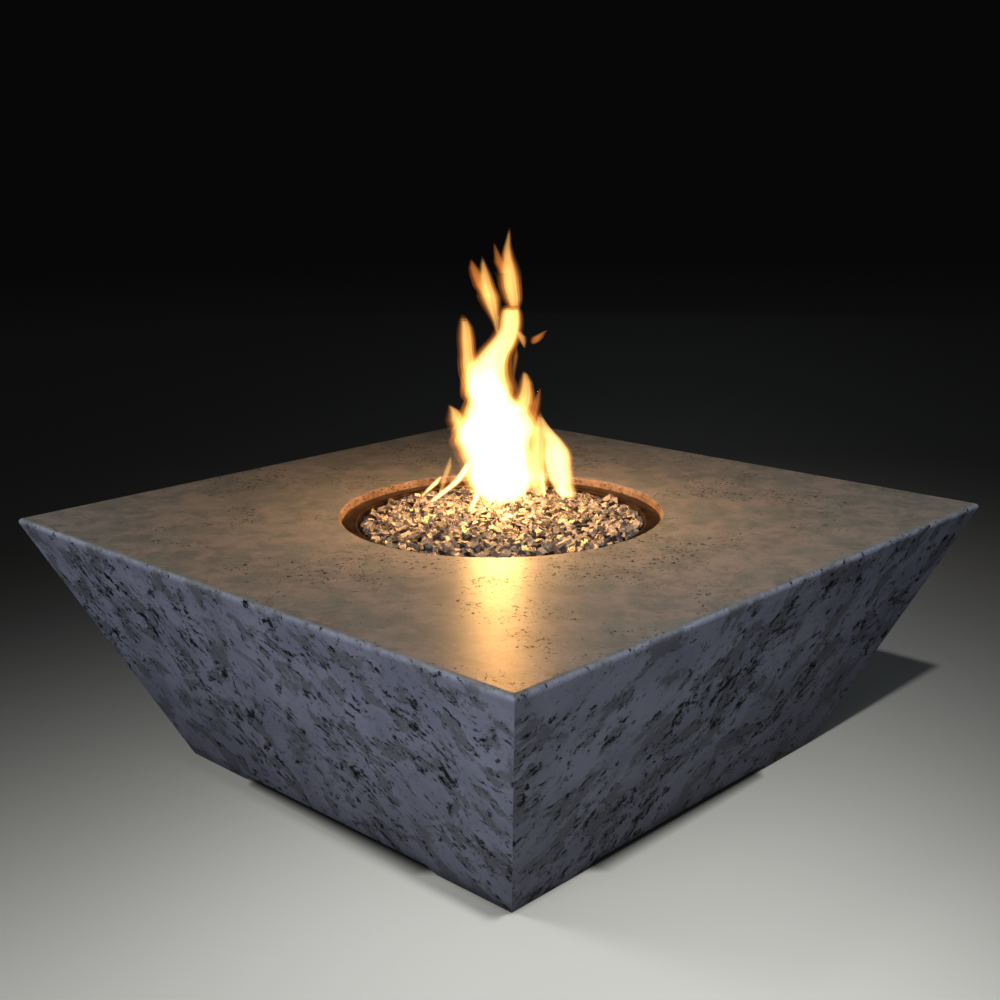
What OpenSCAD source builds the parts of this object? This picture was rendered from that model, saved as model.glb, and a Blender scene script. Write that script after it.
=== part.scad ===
// Gas fire pit table: a cast concrete body shaped like an upside-down cut pyramid, a drop-in burner pan
// with a bed of fire glass, and a key-operated ball valve behind the rear wall. Millimetres, +Z up, the
// origin on the floor under the middle of the table, -Y towards the front.

/* [Table] */
// Width of the square top, over its rounded edges
top_w = 1220; // [1100:10:1400]
// Width of the square base
base_w = 820; // [700:5:900]
// Height of the table
table_h = 460; // [430:1:560]
// Thickness of the sloping walls, square to their faces
wall_t = 25; // [20:1:36]
// Thickness of the top slab
slab_t = 38; // [30:1:60]
// Radius of the rounded edge round the top
edge_r = 8; // [4:0.5:12]
// Width of the flat on each eased upright corner
corner_flat = 4; // [2:0.5:10]

/* [Feet] */
// Length of each foot along a side, from its corner
foot_len = 160; // [120:5:220]
// Height of the gap between two feet
gap_h = 13; // [8:1:25]
// Run of the sloping end of that gap
gap_ramp = 20; // [10:1:40]

/* [Burner opening] */
// Diameter of the opening in the top
opening_d = 572; // [550:1:640]
// Radius on the rim of the opening
rim_r = 5; // [2:0.5:8]
// Depth from the top of the table to the top of the pan's flange
flange_drop = 13; // [10:0.5:20]

/* [Burner pan] */
// Inside diameter of the bowl
pan_d = 515; // [480:1:530]
// Depth of the bowl below the flange
pan_depth = 65; // [60:1:80]
// Thickness of the sheet metal
pan_t = 1.5; // [1:0.1:2.5]
// Inside radius of the bend under the flange
lip_bend_r = 3; // [2:0.5:5]
// Inside radius of the bend round the floor
floor_bend_r = 6; // [3:0.5:10]
// Gap round the edge of the flange
flange_gap = 2; // [1:0.5:5]
// Gap between the bowl's bend and the hole in the slab
bowl_gap = 1.5; // [1:0.5:5]
// Diameter of a drain hole
drain_d = 8; // [5:0.5:12]
// Number of drain holes
drain_count = 6; // [3:1:12]
// Diameter of the circle of drain holes
drain_circle_d = 420; // [360:5:440]

/* [Fire glass] */
// Depth of the glass below the flange at the pan's wall
glass_drop = 10; // [6:1:20]
// Rise of the mound from the wall to the middle
glass_crown = 9; // [0:1:10]
// Length of a piece of glass
chunk_size = 24; // [18:1:26]
// Number of pieces in the top layer
chunk_count = 230; // [150:10:260]
// Gap between the glass and the metal round it
glass_gap = 1; // [0.5:0.25:3]

/* [Burner] */
// Outside diameter of the burner ring
ring_d = 305; // [250:5:360]
// Diameter of the ring's tube
tube_d = 19; // [18:0.5:22]
// Diameter of the two feed arms
arm_d = 16; // [13:0.5:17]
// Wall of the burner tubes
tube_t = 1.5; // [1:0.1:2]
// Diameter of the hub
hub_d = 32; // [28:1:40]
// Thickness of the hub's closed top
hub_cap_t = 6; // [4:0.5:10]
// Diameter of a gas port
port_d = 3; // [2:0.1:4]
// Number of ports round the ring
port_count = 36; // [20:2:48]
// Number of ports along each arm
arm_ports = 4; // [2:1:6]

/* [Supply pipe] */
// Outside diameter of the pipe nipple
pipe_d = 21.3; // [20:0.1:24]
// Bore of the pipe nipple
pipe_bore_d = 15.8; // [13:0.1:17]
// Length of pipe screwed into the hub and into the mixer
pipe_thread = 12; // [10:1:16]
// Outside diameter of a washer on the pipe
washer_d = 40; // [36:1:50]
// Thickness of all washers
washer_t = 2; // [1:0.5:3]
// Width of a pipe locknut across its flats
locknut_w = 32; // [30:1:36]
// Thickness of a pipe locknut
locknut_t = 7; // [5:0.5:9]
// Free pipe between the lower locknut and the mixer
pipe_free = 3; // [2:0.5:10]

/* [Air mixer] */
// Width of the mixer's two hexagons across their flats
mixer_w = 28; // [27:0.5:34]
// Diameter of the mixer's waist
waist_d = 24; // [22:0.5:26]
// Length of the waist between the hexagons
waist_len = 30; // [24:1:40]
// Length of each hexagon
mixer_hex_len = 16; // [15:0.5:20]
// Diameter of an air hole
air_hole_d = 10; // [6:0.5:12]
// Diameter of the jet's body
jet_d = 12; // [10:0.5:13]
// Length of the jet
jet_len = 11; // [8:0.5:14]
// Diameter of the jet's metering hole
jet_bore_d = 2; // [1.5:0.1:3]

/* [Gas fittings] */
// Diameter of the pipe thread on the fittings
fitting_d = 17; // [16:0.1:18]
// Length of that pipe thread
fitting_thread = 14; // [12:0.5:15]
// Bore of the fittings
fitting_bore_d = 9; // [7:0.5:9.5]
// Diameter of the flare thread
flare_d = 15; // [14:0.1:16]
// Length of the flare thread with its cone
flare_len = 16; // [13:0.5:17]
// Length of the flare cone
flare_cone = 3; // [2:0.25:4]
// Bore of the flare threads
flare_bore_d = 8; // [6:0.25:8.5]
// Diameter of the elbow's upright barrel
elbow_d = 22; // [21:0.5:24]
// Diameter of the elbow's level leg
elbow_leg_d = 20; // [17:0.5:20.5]
// Distance from the elbow's corner to its flare thread
elbow_reach = 16; // [14:0.5:24]
// Width of a flare nut across its flats
nut_w = 22; // [19:0.5:26]
// Length of thread left bare between a flare nut and the thread's shoulder
nut_gap = 3; // [1:0.5:4]
// Length of a flare nut's hexagon
nut_hex_len = 17; // [17:0.5:22]
// Length of a flare nut's round tail
nut_tail_len = 9; // [6:0.5:12]
// Diameter of a flare nut's round tail
nut_tail_d = 20; // [16:0.5:21]
// Length of the adapter's hexagon
adapter_hex_len = 8; // [6:0.5:12]

/* [Gas hose] */
// Diameter over the ribs
hose_d = 16; // [14:0.5:17]
// Depth of a rib
rib_depth = 1.8; // [1:0.1:2]
// Number of ribs
rib_count = 90; // [40:1:110]
// Length of the plain cuff that shows past each nut
cuff_free = 6; // [4:0.5:20]
// Diameter of the plain cuff
cuff_d = 12; // [11:0.5:13]
// Bore of the hose
hose_bore_d = 9; // [8:0.5:9.5]
// How far the hose runs on straight from the elbow
lead_out = 180; // [120:5:240]
// How far the hose runs in straight to the valve
lead_in = 180; // [120:5:240]

/* [Valve] */
// Distance of the valve from the middle of the rear wall
valve_x = 180; // [120:5:260]
// Height of the key hole in the rear wall
valve_z = 215; // [190:5:240]
// Diameter of the ball
ball_d = 20; // [18:0.5:22]
// Bore of the ball and the valve
valve_bore_d = 11; // [8:0.5:11.5]
// Room round the ball in its chamber
chamber_gap = 1; // [0.5:0.25:2]
// Diameter of the valve's barrel
barrel_d = 30; // [29:0.5:31]
// Width of the barrel's end hexagons across their flats
valve_hex_w = 32; // [32:0.5:36]
// Length of the end hexagons
valve_hex_len = 16; // [15:0.5:20]
// Length of the end cap's thread
cap_len = 11; // [8:0.5:14]
// Length of the seat rings
seat_len = 4; // [3:0.25:5]
// Diameter of the half-inch inlet thread
inlet_d = 21; // [19:0.1:22]
// Depth of the inlet thread
inlet_thread = 14; // [12:0.5:15]
// Diameter of the neck round the stem
neck_d = 27; // [26:0.5:32]
// Diameter of the stem
stem_d = 8; // [7.5:0.25:9]
// Width of the stem's square head
square_w = 5; // [4.5:0.1:5.2]
// Length of the stem's square head
square_len = 16; // [12:0.5:18]
// Width of the tongue that turns the ball
tongue_w = 6; // [4:0.25:6.5]
// Thickness of that tongue
tongue_t = 3; // [2:0.25:3.5]
// Metal between the ball's bore and the slot for the tongue
slot_web = 1; // [0.75:0.25:1.5]
// Length of the stem's bearing in the body
land_len = 5; // [4:0.5:8]
// Thickness of the packing
packing_t = 5; // [3:0.5:6]
// Outside diameter of the packing and its gland
packing_d = 14; // [12:0.5:15]
// Thickness of the gland
gland_t = 6; // [4:0.5:8]

/* [Wall sleeve] */
// Outside diameter of the sleeve
sleeve_d = 19; // [18:0.5:21]
// Bore of the sleeve
sleeve_bore_d = 14; // [13.5:0.25:15]
// Length of sleeve screwed into the valve's neck
sleeve_thread = 14; // [10:0.5:16]
// Free sleeve between the valve's neck and the locknut
sleeve_free = 4; // [2:0.5:10]
// Gap round the sleeve in the concrete
hole_gap = 1.5; // [1:0.25:3]
// Outside diameter of the sleeve's washer
sleeve_washer_d = 34; // [30:1:44]
// Width of the sleeve's locknut across its flats
sleeve_nut_w = 27; // [25:0.5:32]
// Outside diameter of the cover plate
plate_d = 64; // [56:1:90]
// Height of the cover plate at its hub
plate_h = 7; // [5:0.5:10]
// Diameter of the cover plate's hub
plate_hub_d = 28; // [26:1:34]
// Thickness of the cover plate
plate_t = 2; // [1.5:0.25:3]

/* [Key] */
// Diameter of the key's shank
key_d = 12; // [11:0.25:13]
// How far the key stands out of the wall
key_out = 76; // [50:1:90]
// Diameter of the cross bar
bar_d = 7; // [6:0.25:8]
// Length of the cross bar
bar_len = 76; // [50:1:100]
// Distance of the cross bar from the key's end
bar_inset = 10; // [6:0.5:14]

/* [Fits] */
// Radial gap between screwed or pressed pieces
thread_gap = 0.05; // [0.02:0.01:0.1]
// Radial gap of the stem in its bearing and the ball in its seats
run_gap = 0.05; // [0.02:0.01:0.1]
// Gap on each side of the square in the key's socket
socket_gap = 0.15; // [0.1:0.05:0.3]
// Gap between the key's end and the gland, and past the end of the square
key_gap = 1; // [0.5:0.25:3]

/* [Hidden] */
$fn = 64;
// Overrun of a cut past the face that it opens
cut = 1;

// Middle of the rounded top edge, and the lean of the walls, which run from the base to touch that round
edge_x = top_w / 2 - edge_r;
edge_z = table_h - edge_r;
edge_out = edge_x - base_w / 2;
lean = atan(edge_out / edge_z) + asin(edge_r / norm([edge_out, edge_z]));
edge_foot_x = edge_x + edge_r * cos(lean);
edge_foot_z = edge_z - edge_r * sin(lean);
cavity_top = table_h - slab_t;

// Levels of the burner, from the flange down
flange_z = table_h - flange_drop;
ledge_z = flange_z - pan_t;
floor_z = flange_z - pan_depth;
upper_nut_z = floor_z + washer_t;
hub_z = upper_nut_z + locknut_t;
chamber_z = hub_z + pipe_thread;
ring_z = chamber_z + arm_d / 2;
hub_top = chamber_z + arm_d + hub_cap_t;
ring_r = (ring_d - tube_d) / 2;
lower_washer_z = floor_z - pan_t - washer_t;
lower_nut_z = lower_washer_z - locknut_t;
mixer_top = lower_nut_z - pipe_free;
pipe_end = mixer_top - pipe_thread;
mixer_len = waist_len + 2 * mixer_hex_len;
mixer_z = mixer_top - mixer_len;
jet_z = mixer_z + fitting_thread;
elbow_z = mixer_z - elbow_d / 2;
opening_r = opening_d / 2;
bowl_r = pan_d / 2 + pan_t;
hole_r = bowl_r + lip_bend_r + bowl_gap;
pipe_hole_r = pipe_d / 2 + thread_gap;

// The glass bed: its wall, the level at that wall and the mound's curve
bed_r = pan_d / 2 - glass_gap;
bed_z = flange_z - glass_drop;
mound_steps = 6;
golden_angle = 180 * (3 - sqrt(5));
// A piece of glass: its half sizes as shares of its length, how far a corner may stray, and its six corners
chunk_shape = [0.5, 0.42, 0.34];
chunk_stray = 0.14;
chunk_tilt = 40;
chunk_corners = [[1, 0, 0], [0, 1, 0], [-1, 0, 0], [0, -1, 0], [0, 0, 1], [0, 0, -1]];
chunk_faces = [for (i = [0 : 3]) each [[i, 4, (i + 1) % 4], [(i + 1) % 4, 5, i]]];
function mound_z(r) = bed_z + glass_crown * (1 - pow(r / bed_r, 2));

// Levels of the valve, measured out from the wall's outer face
inner_face = -wall_t;
sleeve_washer_w = inner_face - washer_t;
sleeve_nut_at = sleeve_washer_w - locknut_t;
neck_top = sleeve_nut_at - sleeve_free;
sleeve_end = neck_top - sleeve_thread;
gland_end = sleeve_end - gland_t;
packing_end = gland_end - packing_t;
chamber_top = packing_end - land_len;
chamber_r = ball_d / 2 + chamber_gap;
ball_w = chamber_top - chamber_r;
square_end = sleeve_end + square_len;
slot_w = ball_w + valve_bore_d / 2 + slot_web;
cap_face = ball_d / 2 + chamber_gap;
cap_shoulder = cap_face + cap_len;
valve_end = cap_shoulder + valve_hex_len;
flare_at = valve_end + adapter_hex_len;

// Ends and curve of the hose: straight cuffs joined by one curve, in steps of equal length
valve_y = base_w / 2 + valve_z * tan(lean);
ball_at = [valve_x, valve_y + ball_w * cos(lean), valve_z - ball_w * sin(lean)];
hose_start = [0, elbow_reach + flare_len, elbow_z];
hose_end = ball_at - [flare_at + flare_len, 0, 0];
nut_end = nut_gap + nut_hex_len + nut_tail_len;
cuff_len = nut_end - flare_len + cuff_free;
curve_start = hose_start + [0, cuff_len, 0];
curve_end = hose_end - [cuff_len, 0, 0];
curve_points = [curve_start, curve_start + [0, lead_out, 0], curve_end - [lead_in, 0, 0], curve_end];
hose_sides = 8;
bore_step = 6;
curve_samples = 60;
function curve_at(t) = pow(1 - t, 3) * curve_points[0] + 3 * pow(1 - t, 2) * t * curve_points[1]
    + 3 * (1 - t) * t * t * curve_points[2] + pow(t, 3) * curve_points[3];
curve_lengths = [for (i = 0, s = 0; i <= curve_samples;
    s = s + norm(curve_at((i + 1) / curve_samples) - curve_at(i / curve_samples)), i = i + 1)
    [s, i / curve_samples]];
curve_len = curve_lengths[curve_samples][0];
function unit(v) = v / norm(v);
function along(share) = curve_at(lookup(share * curve_len, curve_lengths));

// Sweeps an upright outline straight through the table from front to back
module through_table() {
    rotate([90, 0, 0])
        linear_extrude(2 * top_w, center = true)
            children();
}

// What two such sweeps, square to each other, share
module four_sided() {
    intersection() {
        through_table() children();
        rotate(90) through_table() children();
    }
}

// Puts a shape on the key hole: Z square out of the rear wall, X along the wall
module at_key_hole() {
    translate([valve_x, valve_y, valve_z])
        rotate([-90 - lean, 0, 0])
            children();
}

// Puts a shape on the ball's middle with Z along the valve's flow, towards the hose
module along_flow() {
    at_key_hole()
        translate([0, 0, ball_w])
            rotate([0, -90, 0])
                children();
}

// A hexagonal bar given by its width across the flats
module hexagon(width, length) {
    cylinder(d = width / cos(30), h = length, $fn = 6);
}

// A round tube given by its two diameters
module tube(outer_d, inner_d, length) {
    difference() {
        cylinder(d = outer_d, h = length);
        translate([0, 0, -cut]) cylinder(d = inner_d, h = length + 2 * cut);
    }
}

// A quarter of a flat ring, for a bend in sheet metal that starts at an angle
module sheet_bend(radius, start) {
    rotate(start)
        intersection() {
            difference() {
                circle(r = radius + pan_t);
                circle(r = radius);
            }
            square(radius + 2 * pan_t);
        }
}

// A flare thread with its cone, from its shoulder along Z
module flare_thread() {
    cylinder(d = flare_d, h = flare_len - flare_cone);
    translate([0, 0, flare_len - flare_cone])
        cylinder(d1 = flare_d, d2 = flare_d - 2 * flare_cone, h = flare_cone);
}

// A flare nut that sits on a flare thread, measured from that thread's shoulder
module flare_nut() {
    difference() {
        union() {
            translate([0, 0, nut_gap]) hexagon(nut_w, nut_hex_len);
            translate([0, 0, nut_gap]) cylinder(d = nut_tail_d, h = nut_end - nut_gap);
        }
        cylinder(d = flare_d + 2 * thread_gap, h = flare_len);
        cylinder(d = cuff_d + 2 * thread_gap, h = nut_end + cut);
    }
}

// Outline of the casting from the front, with its top corners rounded
module casting_outline() {
    polygon([[-base_w / 2, 0], [base_w / 2, 0], [edge_foot_x, edge_foot_z], [edge_x, table_h],
        [-edge_x, table_h], [-edge_foot_x, edge_foot_z]]);
    for (side = [-1, 1])
        translate([side * edge_x, edge_z]) circle(r = edge_r);
}

// Outline of the casting across its corners, short of them by the eased flats
module corner_outline() {
    base_x = base_w / sqrt(2) - corner_flat / 2;
    top_x = base_x + table_h * tan(lean) * sqrt(2);
    polygon([[-base_x, 0], [base_x, 0], [top_x, table_h], [-top_x, table_h]]);
}

// Outline of the hollow under the slab, open at the floor
module cavity_outline() {
    floor_x = base_w / 2 - wall_t / cos(lean);
    low_x = floor_x - cut * tan(lean);
    top_x = floor_x + cavity_top * tan(lean);
    polygon([[-low_x, -cut], [low_x, -cut], [top_x, cavity_top], [-top_x, cavity_top]]);
}

// Outline of the gap between two feet
module gap_outline() {
    foot_x = base_w / 2 - foot_len;
    slope = gap_ramp / gap_h;
    polygon([[-foot_x - cut * slope, -cut], [foot_x + cut * slope, -cut], [foot_x - gap_ramp, gap_h],
        [gap_ramp - foot_x, gap_h]]);
}

// Half outline of the opening in the slab: rounded rim, ledge and the hole for the bowl
module opening_outline() {
    translate([0, ledge_z]) square([opening_r, table_h - ledge_z + cut]);
    translate([0, cavity_top - cut]) square([hole_r, slab_t]);
    translate([opening_r, table_h - rim_r])
        difference() {
            translate([-cut, 0]) square([rim_r + cut, rim_r + cut]);
            translate([rim_r, 0]) circle(r = rim_r);
        }
}

module concrete_shell() {
    color("slategray")
        difference() {
            intersection() {
                four_sided() casting_outline();
                rotate(45) through_table() corner_outline();
            }
            four_sided() cavity_outline();
            rotate_extrude($fn = 180) opening_outline();
            for (turn = [0, 90])
                rotate(turn) through_table() gap_outline();
            at_key_hole()
                translate([0, 0, -2 * wall_t]) cylinder(d = sleeve_d + 2 * hole_gap, h = 3 * wall_t);
        }
}

module burner_pan() {
    color("dimgray")
        difference() {
            rotate_extrude($fn = 180) {
                lip_x = bowl_r + lip_bend_r;
                bend_x = pan_d / 2 - floor_bend_r;
                translate([lip_x, ledge_z]) square([opening_r - flange_gap - lip_x, pan_t]);
                translate([lip_x, ledge_z - lip_bend_r]) sheet_bend(lip_bend_r, 90);
                translate([pan_d / 2, floor_z + floor_bend_r])
                    square([pan_t, ledge_z - lip_bend_r - floor_z - floor_bend_r]);
                translate([bend_x, floor_z + floor_bend_r]) sheet_bend(floor_bend_r, 270);
                translate([pipe_hole_r, floor_z - pan_t]) square([bend_x - pipe_hole_r, pan_t]);
            }
            for (i = [0 : drain_count - 1])
                rotate(360 * (i + 0.5) / drain_count)
                    translate([drain_circle_d / 2, 0, floor_z - pan_t - cut])
                        cylinder(d = drain_d, h = pan_t + 2 * cut);
        }
}

// One piece of crushed glass: six corners moved by chance, lying any way up on the mound
module glass_chunk(i) {
    reach = bed_r - chunk_size * (chunk_shape[0] + chunk_stray);
    r = reach * sqrt((i + 0.5) / chunk_count);
    stray = rands(-chunk_stray, chunk_stray, 3 * len(chunk_corners), i);
    tilt = rands(-chunk_tilt, chunk_tilt, 2, chunk_count + i);
    corners = [for (c = [0 : len(chunk_corners) - 1]) chunk_size * [for (axis = [0 : 2])
        chunk_corners[c][axis] * chunk_shape[axis] + stray[3 * c + axis]]];
    translate([r * cos(i * golden_angle), r * sin(i * golden_angle), mound_z(r)])
        rotate([tilt[0], tilt[1], i * golden_angle])
            hull() polyhedron(corners, chunk_faces);
}

// The room that the burner takes up in the glass
module burner_room() {
    room = 2 * glass_gap;
    translate([0, 0, ring_z])
        rotate_extrude($fn = 40) translate([ring_r, 0]) circle(d = tube_d + 2 * room, $fn = 8);
    translate([0, 0, ring_z])
        rotate([0, 90, 0]) cylinder(d = arm_d + 2 * room, h = 2 * ring_r, center = true, $fn = 8);
    translate([0, 0, floor_z - cut]) cylinder(d = hub_d + 2 * room, h = hub_top + room - floor_z, $fn = 24);
    translate([0, 0, floor_z - cut])
        cylinder(d = max(washer_d, locknut_w / cos(30)) + 2 * room, h = hub_z + room - floor_z, $fn = 24);
}

module fire_glass() {
    skirt = floor_bend_r + glass_gap;
    crown = [for (i = [0 : mound_steps])
        let (r = bed_r * (1 - i / mound_steps)) [r, mound_z(r)]];
    color("lightsteelblue")
        difference() {
            union() {
                rotate_extrude($fn = 60)
                    polygon(concat([[0, floor_z], [bed_r - skirt, floor_z], [bed_r, floor_z + skirt]], crown));
                for (i = [0 : chunk_count - 1]) glass_chunk(i);
            }
            burner_room();
        }
}

// The outside of the ring's tube
module ring_outside() {
    translate([0, 0, ring_z])
        rotate_extrude($fn = 120) translate([ring_r, 0]) circle(d = tube_d, $fn = 32);
}

// A bar that runs from the middle to the middle of the ring's tube
module arm_bar(diameter) {
    translate([0, 0, ring_z])
        rotate([0, 90, 0]) cylinder(d = diameter, h = ring_r);
}

module burner_ring() {
    color("silver")
        difference() {
            ring_outside();
            translate([0, 0, ring_z])
                rotate_extrude($fn = 120) translate([ring_r, 0]) circle(d = tube_d - 2 * tube_t, $fn = 32);
            for (side = [0, 180])
                rotate(side) arm_bar(arm_d - 2 * tube_t);
            for (i = [0 : port_count - 1])
                rotate(360 * (i + 0.5) / port_count)
                    translate([ring_r, 0, ring_z]) cylinder(d = port_d, h = tube_d, $fn = 16);
        }
}

module burner_arms() {
    arm_step = (ring_r - tube_d / 2 - hub_d / 2) / (arm_ports + 1);
    color("silver")
        for (side = [0, 180])
            rotate(side)
                difference() {
                    arm_bar(arm_d);
                    arm_bar(arm_d - 2 * tube_t);
                    translate([0, 0, hub_z]) cylinder(d = hub_d, h = hub_top - hub_z);
                    ring_outside();
                    for (i = [1 : arm_ports])
                        translate([hub_d / 2 + i * arm_step, 0, ring_z])
                            cylinder(d = port_d, h = arm_d, $fn = 16);
                }
}

module burner_hub() {
    color("silver")
        difference() {
            translate([0, 0, hub_z]) cylinder(d = hub_d, h = hub_top - hub_z);
            translate([0, 0, hub_z - cut]) cylinder(r = pipe_hole_r, h = pipe_thread + cut);
            translate([0, 0, chamber_z - cut]) cylinder(d = pipe_bore_d, h = arm_d + cut);
            for (side = [0, 180])
                rotate(side) arm_bar(arm_d - 2 * tube_t);
        }
}

module supply_nipple() {
    color("gray")
        translate([0, 0, pipe_end]) tube(pipe_d, pipe_bore_d, chamber_z - pipe_end);
}

module pan_washers() {
    color("lightgray")
        for (z = [floor_z, lower_washer_z])
            translate([0, 0, z]) tube(washer_d, 2 * pipe_hole_r, washer_t);
}

module pan_locknuts() {
    color("gray")
        for (z = [upper_nut_z, lower_nut_z])
            translate([0, 0, z])
                difference() {
                    hexagon(locknut_w, locknut_t);
                    translate([0, 0, -cut]) cylinder(r = pipe_hole_r, h = locknut_t + 2 * cut);
                }
}

module air_mixer() {
    jet_top = jet_z + jet_len;
    hole_z = mixer_z + mixer_hex_len + waist_len / 2;
    color("goldenrod")
        difference() {
            union() {
                translate([0, 0, mixer_z]) hexagon(mixer_w, mixer_hex_len);
                translate([0, 0, mixer_z]) cylinder(d = waist_d, h = mixer_len);
                translate([0, 0, mixer_top - mixer_hex_len]) hexagon(mixer_w, mixer_hex_len);
            }
            translate([0, 0, pipe_end]) cylinder(r = pipe_hole_r, h = pipe_thread + cut);
            translate([0, 0, jet_top]) cylinder(d = pipe_bore_d, h = mixer_top - jet_top);
            translate([0, 0, mixer_z]) cylinder(d = jet_d + 2 * thread_gap, h = jet_top - mixer_z + cut);
            translate([0, 0, mixer_z - cut])
                cylinder(d = fitting_d + 2 * thread_gap, h = fitting_thread + cut);
            translate([0, 0, hole_z])
                rotate([0, 90, 0]) cylinder(d = air_hole_d, h = 2 * waist_d, center = true);
        }
}

module gas_orifice() {
    color("khaki")
        translate([0, 0, jet_z]) tube(jet_d, jet_bore_d, jet_len);
}

module mixer_elbow() {
    color("goldenrod")
        difference() {
            union() {
                translate([0, 0, elbow_z - elbow_d / 2]) cylinder(d = elbow_d, h = elbow_d);
                translate([0, 0, mixer_z - cut]) cylinder(d = fitting_d, h = fitting_thread + cut);
                translate([0, 0, elbow_z]) rotate([-90, 0, 0]) cylinder(d = elbow_leg_d, h = elbow_reach);
                translate([0, elbow_reach, elbow_z]) rotate([-90, 0, 0]) flare_thread();
            }
            translate([0, 0, elbow_z]) cylinder(d = fitting_bore_d, h = jet_z - elbow_z + cut);
            translate([0, 0, elbow_z])
                rotate([-90, 0, 0]) cylinder(d = flare_bore_d, h = elbow_reach + flare_len + cut);
        }
}

// The ring of points round one place of the hose, level across and square to its run
function hose_ring(at, run, radius) =
    let (across = unit(cross(run, [0, 0, 1])), up = cross(across, run))
    [for (k = [0 : hose_sides - 1])
        at + radius * (cos(360 * k / hose_sides) * across + sin(360 * k / hose_sides) * up)];

// The hose's run at a share of its curve
function run_at(share) = unit(along(min(share + 0.001, 1)) - along(max(share - 0.001, 0)));

// The rings of one wall of the hose: plain cuffs, and a crest and a valley for every rib between them
function hose_wall(radii, crests) = let (n = len(crests) - 1) concat(
    [hose_ring(hose_start, [0, 1, 0], radii[0]), hose_ring(curve_start, [0, 1, 0], radii[0])],
    [for (i = [1 : n - 1]) hose_ring(along(i / n), run_at(i / n), radii[crests[i]])],
    [hose_ring(curve_end, [1, 0, 0], radii[0]), hose_ring(hose_end, [1, 0, 0], radii[0])]);

// Triangles between rings of the same number of points; first is the index of the first ring's first point
function skin_faces(rings, first, outward) = [for (i = [0 : rings - 2], k = [0 : hose_sides - 1], half = [0, 1])
    let (a = first + i * hose_sides + k,
        b = first + i * hose_sides + (k + 1) % hose_sides,
        triangle = half == 0 ? [a, a + hose_sides, b] : [b, a + hose_sides, b + hose_sides])
    outward ? triangle : [triangle[2], triangle[1], triangle[0]]];

// Triangles of the flat ring that joins the outer wall to the bore at one end
function end_faces(outer, inner, outward) = [for (k = [0 : hose_sides - 1], half = [0, 1])
    let (next = (k + 1) % hose_sides,
        triangle = half == 0 ? [outer + k, outer + next, inner + k] : [outer + next, inner + next, inner + k])
    outward ? triangle : [triangle[2], triangle[1], triangle[0]]];

module flex_hose() {
    crest_r = hose_d / 2;
    outer = hose_wall([cuff_d / 2, crest_r, crest_r - rib_depth],
        [for (i = [0 : 2 * rib_count]) i % 2 == 1 ? 1 : 2]);
    bore = hose_wall([hose_bore_d / 2], [for (i = [0 : bore_step : 2 * rib_count]) 0]);
    points = concat([for (ring = outer) each ring], [for (ring = bore) each ring]);
    inside = len(outer) * hose_sides;
    last_outer = inside - hose_sides;
    last_bore = len(points) - hose_sides;
    color("silver")
        polyhedron(points, concat(
            skin_faces(len(outer), 0, true),
            skin_faces(len(bore), inside, false),
            end_faces(0, inside, true),
            end_faces(last_outer, last_bore, false)));
}

module hose_nuts() {
    color("goldenrod") {
        translate([0, elbow_reach, elbow_z]) rotate([-90, 0, 0]) flare_nut();
        along_flow() translate([0, 0, flare_at]) flare_nut();
    }
}

module outlet_fitting() {
    color("goldenrod")
        along_flow()
            difference() {
                union() {
                    translate([0, 0, valve_end - fitting_thread])
                        cylinder(d = fitting_d, h = fitting_thread + cut);
                    translate([0, 0, valve_end]) hexagon(nut_w, adapter_hex_len);
                    translate([0, 0, flare_at]) flare_thread();
                }
                translate([0, 0, valve_end - fitting_thread - cut])
                    cylinder(d = flare_bore_d, h = fitting_thread + adapter_hex_len + flare_len + 2 * cut);
            }
}

module valve_body() {
    color("darkgoldenrod")
        difference() {
            union() {
                along_flow() translate([0, 0, -cap_shoulder]) cylinder(d = barrel_d, h = 2 * cap_shoulder);
                along_flow() translate([0, 0, -valve_end]) hexagon(valve_hex_w, valve_hex_len);
                at_key_hole() translate([0, 0, ball_w]) cylinder(d = neck_d, h = neck_top - ball_w);
            }
            along_flow() translate([0, 0, -cap_face]) cylinder(r = chamber_r, h = cap_face + cap_shoulder + cut);
            along_flow() translate([0, 0, -valve_end]) cylinder(d = valve_bore_d, h = valve_end);
            along_flow() translate([0, 0, -valve_end - cut]) cylinder(d = inlet_d, h = inlet_thread + cut);
            at_key_hole() translate([0, 0, ball_w]) cylinder(r = stem_d / 2 + run_gap, h = neck_top - ball_w);
            at_key_hole()
                translate([0, 0, packing_end])
                    cylinder(r = packing_d / 2 + thread_gap, h = neck_top - packing_end);
            at_key_hole()
                translate([0, 0, sleeve_end])
                    cylinder(r = sleeve_d / 2 + thread_gap, h = sleeve_thread + cut);
        }
}

module valve_end_cap() {
    color("darkgoldenrod")
        along_flow()
            difference() {
                union() {
                    translate([0, 0, cap_face]) cylinder(r = chamber_r - thread_gap, h = cap_len + cut);
                    translate([0, 0, cap_shoulder]) hexagon(valve_hex_w, valve_hex_len);
                }
                translate([0, 0, cap_face - cut]) cylinder(d = valve_bore_d, h = valve_end);
                translate([0, 0, valve_end - fitting_thread])
                    cylinder(r = fitting_d / 2 + thread_gap, h = fitting_thread + cut);
            }
}

module valve_seats() {
    color("white")
        for (side = [0, 1])
            along_flow()
                mirror([0, 0, side])
                    difference() {
                        translate([0, 0, cap_face - seat_len])
                            tube(2 * (chamber_r - thread_gap), valve_bore_d, seat_len);
                        sphere(r = ball_d / 2 + run_gap);
                    }
}

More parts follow.
